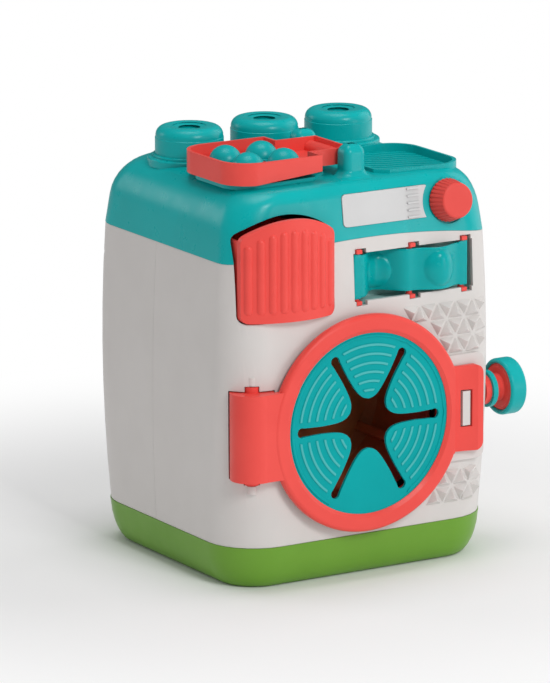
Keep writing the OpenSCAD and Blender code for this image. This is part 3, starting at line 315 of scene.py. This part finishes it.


# paints the highlight on the rib tops
paintOver(finishes["membrane_teal"], ribPaintedHighlight["colour"], ribHighlightMask)
slotOf = {entry["node"]: entry["material_slot"] for entry in frame["record"]["subparts"]}
for name, node in nodes.items():
    node.data.materials.clear()
    node.data.materials.append(finishes[slotOf[name]])
print("materials done:", len(finishes))

bodies = frame["record"]["behaviour"]["bodies"]
bodyOf = {name: body for body, members in bodies.items() for name in members}

# width of the softened edge of each moulded piece, in mm
softEdge = {"base_tray": 0.5, "front_shell": 0, "rear_shell": 0, "top_cover": 0,
            "display_plate": None, "dial_knob": 0, "drawer": 0.6, "window_tray": 0.4,
            "door_ring": 0.6, "door_membrane": 0.3, "drum": 0.5, "crank_arm": 0.6,
            "grip_washer": 0.5, "grip_core": 0.5, "grip_ring": 0, "flap_tray": 0.5, "dome_rims": 0,
            "dome_1": 0, "dome_2": 0, "dome_3": 0, "dome_4": 0, "band_pin_left": 0.3,
            "band_pin_middle": 0.3, "band_pin_right": 0.3}


def skinName(name):
    words = name.split("_")
    return words[0] + "".join(word.title() for word in words[1:]) + "Skin"


# in edit mode, selects the vertices for which a test holds
def choose(piece, test):
    bpy.ops.object.mode_set(mode="OBJECT")
    for vertex in piece.data.vertices:
        vertex.select = test(vertex.co)
    for edge in piece.data.edges:
        edge.select = all(piece.data.vertices[i].select for i in edge.vertices)
    for face in piece.data.polygons:
        face.select = all(piece.data.vertices[i].select for i in face.vertices)
    bpy.ops.object.mode_set(mode="EDIT")
    bpy.ops.mesh.select_mode(type="VERT")


# in edit mode, selects the edges for which a test of their two ends holds
def chooseEdges(piece, test):
    choose(piece, lambda co: False)
    bpy.ops.mesh.select_mode(type="EDGE")
    bpy.ops.object.mode_set(mode="OBJECT")
    for edge in piece.data.edges:
        edge.select = test(*(piece.data.vertices[i].co for i in edge.vertices))
    bpy.ops.object.mode_set(mode="EDIT")


# moves the chosen vertices by a distance in mm
def shift(piece, x, y, z, test):
    choose(piece, test)
    bpy.ops.transform.translate(value=(x * mm, y * mm, z * mm))
    bpy.ops.object.mode_set(mode="OBJECT")


# resizes the chosen vertices about a centre in mm
def grow(piece, factors, centre, test):
    choose(piece, test)
    bpy.ops.transform.resize(value=factors, center_override=[value * mm for value in centre])
    bpy.ops.object.mode_set(mode="OBJECT")


# distance in mm from an upright axis
def fromAxis(co, x, y):
    return math.hypot(co.x - x * mm, co.y - y * mm) / mm


# the step where the tray narrows to its neck is square, not slanted; each row has a span in x,
# a span out from the middle, and how far its corners go in x and outwards
tray = {"middleY": -31.5, "corners": (((-8, -7), (18.5, 20), -11.4, 0),
                                      ((-9, -8), (17, 18.4), -12.3, 0),
                                      ((-20.4, -19.6), (27, 40), 0.6, 1.6),
                                      ((-21.4, -20.5), (27, 40), 0.3, 1.6))}


def squareShoulders(piece):
    for sign in (-1, 1):
        for spanX, spanOut, goX, goOut in tray["corners"]:
            shift(piece, goX, goOut * sign, 0, lambda co: spanX[0] < co.x / mm < spanX[1]
                  and spanOut[0] < (co.y / mm - tray["middleY"]) * sign < spanOut[1])


# wide rounded hollow in the top of every stud: rings from, to and how much each grows
studs = {"x": (-50, 0, 50), "y": 31.6, "top": 246.7, "floor": 6.5, "lift": 2.8, "deepest": 8,
         "rings": ((7.0, 8.0, 1.45), (4.8, 5.6, 1.82), (3.1, 3.7, 2.3)), "reach": 8.5}


def widenHollows(piece):
    for x in studs["x"]:
        for low, high, more in studs["rings"]:
            grow(piece, (more, more, 1), (x, studs["y"], studs["top"]),
                 lambda co: low < fromAxis(co, x, studs["y"]) < high
                 and co.z / mm > studs["top"] - studs["deepest"])
        shift(piece, 0, 0, studs["lift"], lambda co: fromAxis(co, x, studs["y"]) < studs["reach"]
              and abs(co.z / mm - studs["top"] + studs["floor"]) < 0.2)


# thumb-shaped posts of the tray hinge, which flare into the cover
post = {"x": 3, "width": 13.6, "depth": 12.4, "foot": 227, "top": 245.5, "corner": 4,
        "crown": 5.6, "neckSides": ((-51.1, -1), (-11.9, 1)), "buried": 0.9, "deeper": 1.3,
        "pinnedAt": 0.1, "cutter": (20, 16, 30), "cutterRise": 15.02,
        "flare": ((1.5, 0.5), (1.3, 0.95), (0.9, 1.4), (0.6, 1.7), (0.9, 0))}


def addBox(x, y, z, width, depth, tall):
    deselectAll()
    bpy.ops.mesh.primitive_cube_add(size=1, location=(x * mm, y * mm, z * mm),
                                    scale=(width * mm, depth * mm, tall * mm))
    bpy.ops.object.transform_apply(location=True, rotation=True, scale=True)
    return bpy.context.object


def makePost(neckY, outward):
    foot = post["foot"] + sum(drop for drop, spread in post["flare"]) - post["buried"]
    tall = post["top"] - foot
    midY = neckY + outward * post["depth"] / 2
    piece = addBox(post["x"], midY, foot + tall / 2, post["width"], post["depth"], tall)
    high, low = post["top"] * mm - 0.00001, foot * mm + 0.00001
    chooseEdges(piece, lambda a, b: abs(a.z - b.z) > 0.001)
    bpy.ops.mesh.bevel(offset=post["corner"] * mm, segments=5, affect="EDGES")
    choose(piece, lambda co: co.z > high)
    bpy.ops.mesh.select_mode(type="EDGE")
    bpy.ops.mesh.region_to_loop()
    bpy.ops.mesh.bevel(offset=post["crown"] * mm, segments=7, affect="EDGES")
    pinY = neckY + outward * post["depth"] * post["pinnedAt"]
    width, depth = post["width"], post["depth"]
    choose(piece, lambda co: co.z < low)
    for drop, spread in post["flare"]:
        bpy.ops.mesh.extrude_region_move(
            TRANSFORM_OT_translate={"value": (0, 0, -drop * mm), "orient_type": "GLOBAL"})
        wider, deeper = width + 2 * spread, depth + post["deeper"] * spread
        bpy.ops.transform.resize(value=(wider / width, deeper / depth, 1),
                                 center_override=(post["x"] * mm, pinY * mm, foot * mm))
        width, depth = wider, deeper
    bpy.ops.mesh.select_all(action="SELECT")
    bpy.ops.mesh.normals_make_consistent(inside=False)
    bpy.ops.object.mode_set(mode="OBJECT")
    return piece


def join(piece, other, operation):
    applyModifier(piece, "BOOLEAN", object=other, operation=operation, solver="EXACT")
    bpy.data.objects.remove(other)


# the CAD's own posts are cut away before the rounder ones go on
def roundPosts(piece):
    for neckY, outward in post["neckSides"]:
        cutter = addBox(post["x"], neckY + outward * post["depth"] / 2,
                        post["foot"] + post["cutterRise"], *post["cutter"])
        join(piece, cutter, "DIFFERENCE")
        join(piece, makePost(neckY, outward), "UNION")


# broad rims round the domes, and domes that fill them: rings from, to and how much each grows
domes = {"x": (-56.45, -32.95), "y": (-43.7, -19.3), "floor": 233.1, "centre": 235.1,
         "rims": ((9.7, 10.5, 1.137), (8.6, 9.0, 1.045)), "grow": (1.11, 1.11, 1.08)}


def widenRims(piece):
    for x in domes["x"]:
        for y in domes["y"]:
            for low, high, more in domes["rims"]:
                grow(piece, (more, more, 1), (x, y, domes["floor"]),
                     lambda co: low < fromAxis(co, x, y) < high)


def reshapeCover(piece):
    widenHollows(piece)
    roundPosts(piece)
    mergeCorners(piece, merging["reach"], merging["flatCover"])


def swellDome(piece):
    count = len(piece.data.vertices)
    middle = [sum(v.co[k] for v in piece.data.vertices) / count / mm for k in (0, 1)]
    grow(piece, domes["grow"], (*middle, domes["centre"]), lambda co: True)


# five bars beside the dial stand clear of the plate
plate = {"tilt": 7.97, "bar": 0.3, "lift": 0.55, "pitch": 3.4, "spread": 0.6, "around": 0.9,
         "atEnds": 0.1}


def liftBars(piece):
    tilt = math.radians(plate["tilt"])
    rise, depth = math.cos(tilt), math.sin(tilt)
    away = lambda co: (co.z * depth - co.y * rise) / mm
    along = lambda co: (co.z * rise + co.y * depth) / mm
    top = max(away(vertex.co) for vertex in piece.data.vertices)
    tips = [v.co.copy() for v in piece.data.vertices if away(v.co) > top - plate["bar"]]
    left, right = min(co.x for co in tips) / mm, max(co.x for co in tips) / mm
    middle = sum(along(co) for co in tips) / len(tips)
    for k in (-2, -1, 1, 2):
        go = k * plate["spread"]
        shift(piece, 0, go * depth, go * rise,
              lambda co: left - plate["atEnds"] < co.x / mm < right + plate["atEnds"]
              and away(co) > top - plate["around"]
              and abs(along(co) - middle - k * plate["pitch"]) < plate["around"])
    shift(piece, 0, -plate["lift"] * rise, plate["lift"] * depth,
          lambda co: away(co) > top - plate["bar"])


reshape = {"flap_tray": squareShoulders, "top_cover": reshapeCover, "dome_rims": widenRims,
           "display_plate": liftBars}
for i in range(1, 5):
    reshape["dome_%d" % i] = swellDome
for name, edge in softEdge.items():
    piece = copyOf(name, skinName(name))
    if name in reshape:
        reshape[name](piece)
    soften(piece, edge)
    finishPiece(piece, finishes[slotOf[name]], slotOf[name], bodyOf[name], name)
print("moulded bodies done:", len(softEdge))


# soft wave band with two round buttons: x, z, rise and reach of each; it bends in, then out
band = {"x": (-9.1, 66.6), "z": (161.8, 186.2), "y": -79.47, "thick": 1.6, "in": 13, "out": 5.5,
        "inSpan": (-4.3, 28.05), "outSpan": (30.05, 61.8), "columns": 114, "rows": 36,
        "buttons": ((12, 173.2, 3.2, 9.6), (45.9, 174.3, 3.0, 9.6)), "ends": (-4.6, 61.9),
        "taller": 0.9, "smoothBelow": 50}


def hump(x, span):
    if not span[0] < x < span[1]:
        return 0
    return (1 - math.cos(2 * math.pi * (x - span[0]) / (span[1] - span[0]))) / 2


def makeBand():
    x0, x1 = band["x"]
    z0, z1 = band["z"]
    deselectAll()
    bpy.ops.mesh.primitive_grid_add(x_subdivisions=band["columns"],
                                    y_subdivisions=band["rows"], size=1)
    piece = bpy.context.object
    piece.name = "waveBandSkin"
    bpy.ops.object.mode_set(mode="EDIT")
    bpy.ops.mesh.select_all(action="SELECT")
    bpy.ops.transform.resize(value=((x1 - x0) * mm, (z1 - z0) * mm, 1), center_override=(0, 0, 0))
    bpy.ops.transform.rotate(value=math.radians(-90), orient_axis="X", center_override=(0, 0, 0))
    bpy.ops.transform.translate(value=((x0 + x1) / 2 * mm, band["y"] * mm, (z0 + z1) / 2 * mm))
    bpy.ops.object.mode_set(mode="OBJECT")
    step = (x1 - x0) / band["columns"]
    for k in range(band["columns"] + 1):
        x = x0 + k * step
        bend = band["in"] * hump(x, band["inSpan"]) - band["out"] * hump(x, band["outSpan"])
        if abs(bend) > 0.01:
            shift(piece, 0, bend, 0, lambda co: abs(co.x / mm - x) < step / 3)
    for x, z, rise, reach in band["buttons"]:
        near = min((math.hypot(v.co.x / mm - x, v.co.z / mm - z), v.index)
                   for v in piece.data.vertices)
        spot = piece.data.vertices[near[1]].co.copy()
        choose(piece, lambda co: (co - spot).length < 0.00001)
        bpy.ops.transform.translate(value=(0, -rise * mm, 0), use_proportional_edit=True,
                                    proportional_edit_falloff="SPHERE",
                                    proportional_size=reach * mm)
        bpy.ops.object.mode_set(mode="OBJECT")
    for sign, edgeZ in ((-1, z0), (1, z1)):
        shift(piece, 0, 0, sign * band["taller"], lambda co: abs(co.z / mm - edgeZ) < 0.1
              and not band["ends"][0] < co.x / mm < band["ends"][1])
    applyModifier(piece, "SOLIDIFY", thickness=band["thick"] * mm, offset=0)
    applyModifier(piece, "SMOOTH", factor=0.5, iterations=3)
    soften(piece, 0, band["smoothBelow"])
    finishPiece(piece, finishes["band_teal"], slotOf["wave_band"], bodyOf["wave_band"], "wave_band")


makeBand()
print("wave band done")


# triangular pyramids above and below the door: first x, top z and number of rows of each field
pyramids = {"side": 11.85, "up": 4.2, "sink": 0.45, "gap": 0.6, "columns": 11,
            "rows": ((15.9, 153.4, 3), (19.9, 55.6, 2)), "door": (-4.5, 91, 66.8), "lastX": 71,
            "edge": 0.5, "segments": 3, "smoothBelow": 25}
casing = {"halfWidth": 86.5, "halfDepth": 80, "bulge": 3, "mid": 95, "half": 91, "cornerLow": 30,
          "cornerTop": 20, "low": 25, "high": 186}


# depth of the casing's front face at a place, and the way the face turns there
def frontFace(x, z):
    swell = casing["bulge"] * (1 - ((z - casing["mid"]) / casing["half"]) ** 2)
    tighter = casing["cornerLow"] - casing["cornerTop"]
    corner = casing["cornerLow"] - tighter * (z - casing["low"]) / (casing["high"] - casing["low"])
    over = max(0, abs(x) - (casing["halfWidth"] + swell - corner))
    depth = casing["halfDepth"] + swell - corner + math.sqrt(max(0, corner ** 2 - over ** 2))
    return -depth, math.asin(over / corner)


def makePyramids():
    tall = pyramids["side"] * math.sqrt(3) / 2
    doorX, doorZ, doorR = pyramids["door"]
    height = pyramids["up"] + pyramids["sink"]
    away = height / 2 - pyramids["sink"]
    radius = (pyramids["side"] - pyramids["gap"]) / math.sqrt(3)
    made = []
    for x0, z0, rows in pyramids["rows"]:
        for row in range(rows):
            for i in range(pyramids["columns"]):
                upward = (i + row) % 2 == 1
                x = x0 + i * pyramids["side"] / 2
                z = z0 - row * tall - tall * (2 / 3 if upward else 1 / 3)
                if math.hypot(x - doorX, z - doorZ) <= doorR or x >= pyramids["lastX"]:
                    continue
                y, turn = frontFace(x, z)
                deselectAll()
                bpy.ops.mesh.primitive_cone_add(vertices=3, depth=height * mm, radius2=0,
                                                radius1=radius * mm)
                piece = bpy.context.object
                piece.rotation_euler = (math.radians(90), 0, turn)
                piece.location = ((x + away * math.sin(turn)) * mm,
                                  (y - away * math.cos(turn)) * mm, z * mm)
                bpy.ops.object.transform_apply(location=True, rotation=True, scale=True)
                points = [v.co.z / mm - z for v in piece.data.vertices if v.co.y > y * mm]
                if (max(points) > -min(points)) != upward:
                    bpy.ops.object.mode_set(mode="EDIT")
                    bpy.ops.mesh.select_all(action="SELECT")
                    bpy.ops.transform.rotate(value=math.pi, orient_axis="Y",
                                             center_override=(x * mm, y * mm, z * mm))
                    bpy.ops.object.mode_set(mode="OBJECT")
                made.append(piece)
    deselectAll()
    for piece in made:
        piece.select_set(True)
    bpy.context.view_layer.objects.active = made[0]
    bpy.ops.object.join()
    piece = bpy.context.object
    piece.name = "pyramidField"
    applyModifier(piece, "BEVEL", width=pyramids["edge"] * mm, segments=pyramids["segments"])
    pick(piece)
    bpy.ops.object.shade_smooth_by_angle(angle=math.radians(pyramids["smoothBelow"]))
    finishPiece(piece, finishes["casing_white"], slotOf["front_shell"], bodyOf["front_shell"])


makePyramids()
print("pyramids done")


view = {"azimuth": -31.5, "elevation": 13.28, "roll": -0.07, "distance": 3.247,
        "targetHeight": 0.1217, "sensor": 36, "lens": 297.77, "shiftX": -0.02684,
        "shiftY": -0.00442, "farthest": 100}


def makeCamera():
    az, el = math.radians(view["azimuth"]), math.radians(view["elevation"])
    roll = math.radians(view["roll"])
    forward = Vector((-math.sin(az) * math.cos(el), math.cos(az) * math.cos(el), -math.sin(el)))
    level = Vector((math.cos(az), math.sin(az), 0))
    upright = level.cross(forward)
    right = level * math.cos(roll) + upright * math.sin(roll)
    up = upright * math.cos(roll) - level * math.sin(roll)
    place = Vector((0, 0, view["targetHeight"])) - forward * view["distance"]
    data = bpy.data.cameras.new("studioCamera")
    camera = bpy.data.objects.new("studioCamera", data)
    bpy.context.scene.collection.objects.link(camera)
    data.sensor_width = view["sensor"]
    data.lens = view["lens"]
    data.shift_x = view["shiftX"]
    data.shift_y = view["shiftY"]
    data.clip_end = view["farthest"]
    turn = Matrix((right, up, -forward)).transposed()
    camera.matrix_world = Matrix.Translation(place) @ turn.to_4x4()
    bpy.context.scene.camera = camera


makeCamera()


paper = {"colour": (0.86, 0.86, 0.86), "roughness": 0.9, "specular": 0.1, "fade": (0.16, 0.45),
         "size": 12}
sky = {"light": 0.42, "seen": 1.0, "mirrored": 0.12}


# pale paper that turns to plain white away from the object
def paperMaterial(name):
    material, tree, shader = newMaterial(name)
    shader.inputs["Base Color"].default_value = (*paper["colour"], 1)
    shader.inputs["Roughness"].default_value = paper["roughness"]
    shader.inputs["Specular IOR Level"].default_value = paper["specular"]
    length = tree.nodes.new("ShaderNodeVectorMath")
    length.operation = "LENGTH"
    tree.links.new(objectPlace(tree), length.inputs[0])
    far = mapNode(tree, length.outputs["Value"], *paper["fade"], 0, 1)
    far.interpolation_type = "SMOOTHSTEP"
    path = tree.nodes.new("ShaderNodeLightPath")
    seen = tree.nodes.new("ShaderNodeMath")
    seen.operation = "MULTIPLY"
    tree.links.new(path.outputs["Is Camera Ray"], seen.inputs[0])
    tree.links.new(far.outputs["Result"], seen.inputs[1])
    glow = tree.nodes.new("ShaderNodeEmission")
    mix = tree.nodes.new("ShaderNodeMixShader")
    tree.links.new(seen.outputs["Value"], mix.inputs["Fac"])
    tree.links.new(shader.outputs["BSDF"], mix.inputs[1])
    tree.links.new(glow.outputs["Emission"], mix.inputs[2])
    tree.links.new(mix.outputs["Shader"], tree.nodes["Material Output"].inputs["Surface"])
    return material


def makeStage():
    deselectAll()
    bpy.ops.mesh.primitive_plane_add(size=paper["size"], location=(0, 0, 0))
    floor = bpy.context.object
    floor.name = "studioFloor"
    floor.data.materials.append(paperMaterial("floorPaper"))
    world = bpy.data.worlds.new("studioWorld")
    bpy.context.scene.world = world
    world.use_nodes = True
    tree = world.node_tree
    back = tree.nodes["Background"]
    back.inputs["Color"].default_value = (1, 1, 1, 1)
    back.inputs["Strength"].default_value = sky["light"]
    white = tree.nodes.new("ShaderNodeBackground")
    white.inputs["Strength"].default_value = sky["seen"]
    dim = tree.nodes.new("ShaderNodeBackground")
    dim.inputs["Strength"].default_value = sky["mirrored"]
    path = tree.nodes.new("ShaderNodeLightPath")
    soft = tree.nodes.new("ShaderNodeMixShader")
    tree.links.new(path.outputs["Is Glossy Ray"], soft.inputs["Fac"])
    tree.links.new(back.outputs["Background"], soft.inputs[1])
    tree.links.new(dim.outputs["Background"], soft.inputs[2])
    mix = tree.nodes.new("ShaderNodeMixShader")
    tree.links.new(path.outputs["Is Camera Ray"], mix.inputs["Fac"])
    tree.links.new(soft.outputs["Shader"], mix.inputs[1])
    tree.links.new(white.outputs["Background"], mix.inputs[2])
    tree.links.new(mix.outputs["Shader"], tree.nodes["World Output"].inputs["Surface"])


lampAim = (0, 0, 0.12)
lamps = {
    "keyLamp": {"place": (0.0, -1.6, 1.2), "size": 0.5, "power": 12.6},
    "frontLamp": {"place": (0.76, -1.37, 0.25), "size": 0.5, "power": 2.2},
    "topLamp": {"place": (-0.05, 0, 1.8), "size": 0.9, "power": 9},
    "sideLamp": {"place": (-0.9, 1.2, 0.58), "size": 0.45, "power": 1.6},
    "rightLamp": {"place": (1.6, -0.1, 0.7), "size": 1.6, "power": 9},
}


def makeLamps():
    for name, lamp in lamps.items():
        data = bpy.data.lights.new(name, "AREA")
        data.shape = "SQUARE"
        data.size = lamp["size"]
        data.energy = lamp["power"]
        holder = bpy.data.objects.new(name, data)
        bpy.context.scene.collection.objects.link(holder)
        holder.location = lamp["place"]
        aim = Vector(lampAim) - Vector(lamp["place"])
        holder.rotation_mode = "QUATERNION"
        holder.rotation_quaternion = aim.to_track_quat("-Z", "Y")


makeStage()
makeLamps()
bpy.context.scene.view_settings.view_transform = "Standard"
print("stage done")
